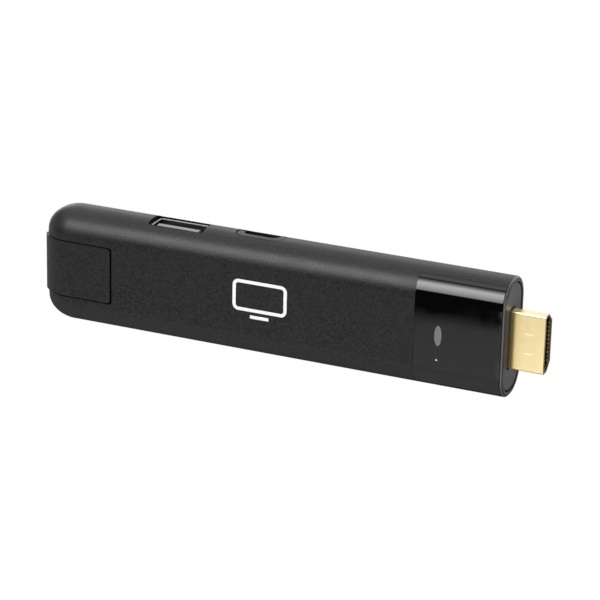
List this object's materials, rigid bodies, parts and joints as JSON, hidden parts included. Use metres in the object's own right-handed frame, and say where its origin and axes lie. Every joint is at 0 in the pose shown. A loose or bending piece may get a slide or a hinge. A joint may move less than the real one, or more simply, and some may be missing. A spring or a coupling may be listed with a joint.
{
  "type": "streaming media player stick",
  "caption": "Bar-shaped streaming stick with a soft nose, wrap-around end cap, side USB sockets, glossy window and gold HDMI plug.",
  "frame": {"origin": "centre of the HDMI plug in the plane of the end ring", "axes": "+X out of the plug, -Y the front face with the window, +Z the narrow side with the USB sockets"},
  "size_m": [0.1252, 0.013, 0.0282],
  "materials": {
    "casing": "fine-grained matt charcoal ABS",
    "cap": "fine-grained matt charcoal ABS",
    "end_plate": "satin dark grey plastic",
    "window": "polished infrared-clear black polycarbonate",
    "lens": "grey diffusing acrylic",
    "light_pipe": "clear acrylic, bright tip",
    "label": "blank matt foil",
    "gold_shell": "pale gold plating, satin",
    "contact_gold": "gold plating",
    "insulator": "black glass-filled nylon",
    "tongue": "light grey nylon",
    "socket_metal": "tin-plated sheet steel",
    "screw_steel": "zinc-plated steel",
    "shield_metal": "tin-plated sheet steel",
    "board": "green solder mask",
    "chip": "black moulded epoxy",
    "pad": "blue-grey silicone pad",
    "spreader": "extruded, satin",
    "ferrite": "pressed ferrite",
    "ceramic": "tan ceramic",
    "ir_black": "dark epoxy",
    "led": "white package",
    "button": "moulded nylon"
  },
  "bodies": {
    "stick": {"antennas": "ceramic", "back_cover": "casing", "board_screws": "screw_steel", "body_shell": "casing", "capacitors": "ceramic", "crystal": "shield_metal", "end_plate": "end_plate", "flash_chip": "chip", "front_window": "window", "hdmi_plug_collar": "insulator", "hdmi_plug_contacts": "contact_gold", "hdmi_plug_insulator": "insulator", "hdmi_plug_shell": "gold_shell", "heat_spreader": "spreader", "inductors": "ferrite", "ir_receiver": "ir_black", "led_light_pipe": "light_pipe", "main_board": "board", "memory_chips": "chip", "power_chip": "chip", "rating_label": "label", "reset_switch_base": "shield_metal", "shield_frame": "shield_metal", "shield_lid": "shield_metal", "soc_chip": "chip", "status_leds": "led", "status_lens": "lens", "tail_usb_contacts": "contact_gold", "tail_usb_shell": "socket_metal", "tail_usb_tongue": "insulator", "thermal_pad": "pad", "usb_a_contacts": "contact_gold", "usb_a_shell": "socket_metal", "usb_a_tongue": "tongue", "usb_c_contacts": "contact_gold", "usb_c_shell": "socket_metal", "usb_c_tongue": "insulator", "wifi_module": "shield_metal"},
    "cap": {"end_cap": "cap"},
    "reset_plunger": {"reset_button": "button"}
  },
  "joints": [
    {"name": "end_cap_slide", "type": "slide", "parent": "stick", "child": "cap", "axis": [-1, 0, 0], "range_m": [0, 0.02]},
    {"name": "reset_button_press", "type": "slide", "parent": "stick", "child": "reset_plunger", "axis": [0, 0, 1], "range_m": [0, 0.00025], "stiffness_N_per_m": 3000}
  ]
}
